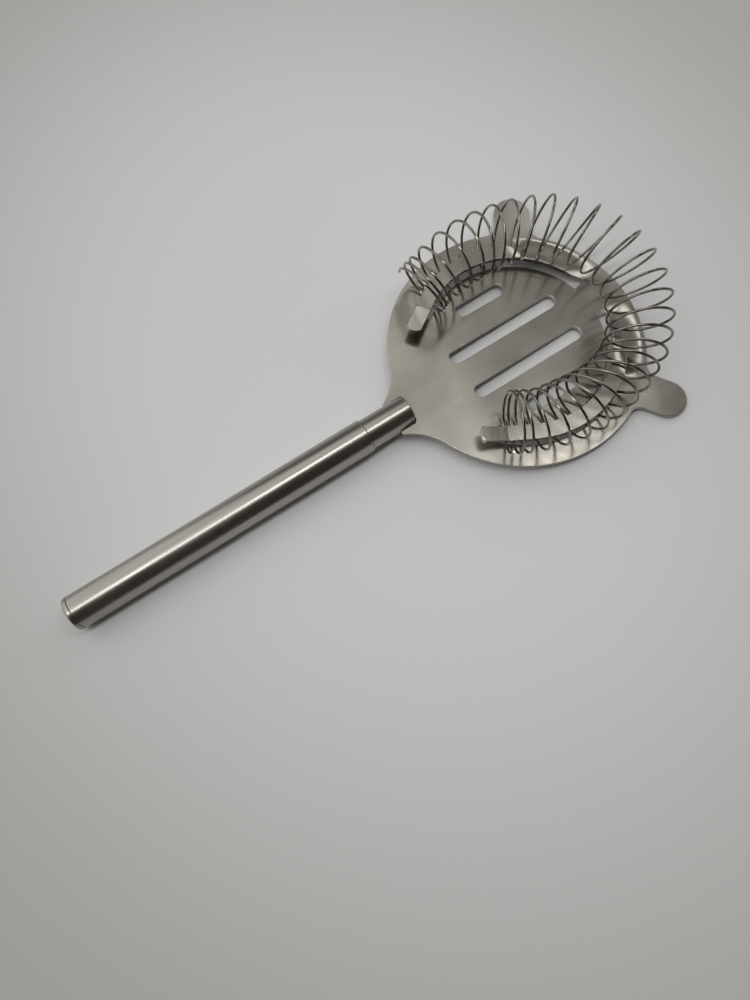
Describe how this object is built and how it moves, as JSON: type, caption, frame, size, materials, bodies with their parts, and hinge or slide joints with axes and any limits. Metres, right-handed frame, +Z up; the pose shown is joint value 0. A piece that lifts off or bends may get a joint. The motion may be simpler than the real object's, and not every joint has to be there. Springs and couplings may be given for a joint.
{
  "type": "hawthorne strainer",
  "caption": "Bar strainer: a slotted steel disc with two ears, a coil spring held round its front edge by raised arms, and a straight tube handle.",
  "frame": {"origin": "middle of the footprint on the table plane, with the strainer lying as it rests: on the handle's far end and the disc's front edge", "axes": "+X from the handle towards the disc's front, +Y to the left when looking along +X, +Z up from the table; the plate itself is tilted 2.8 degrees about Y, front edge lower"},
  "size_m": [0.2112, 0.0962, 0.0271],
  "materials": {
    "sheet_steel": "satin stainless sheet with handling marks",
    "spring_steel": "bright drawn wire",
    "tube_steel": "lengthwise brushed tube"
  },
  "bodies": {
    "strainer": {"strainer_plate": "sheet_steel", "ferrule": "tube_steel", "handle_tube": "tube_steel", "end_cap": "tube_steel"},
    "spring": {"coil_spring": "spring_steel"}
  },
  "joints": [
    {"name": "spring_press", "type": "slide", "parent": "strainer", "child": "spring", "axis": [0.9988, 0, -0.0495], "range_m": [-0.002, 0], "stiffness_N_per_m": 400, "springref_m": 0.0005}
  ]
}
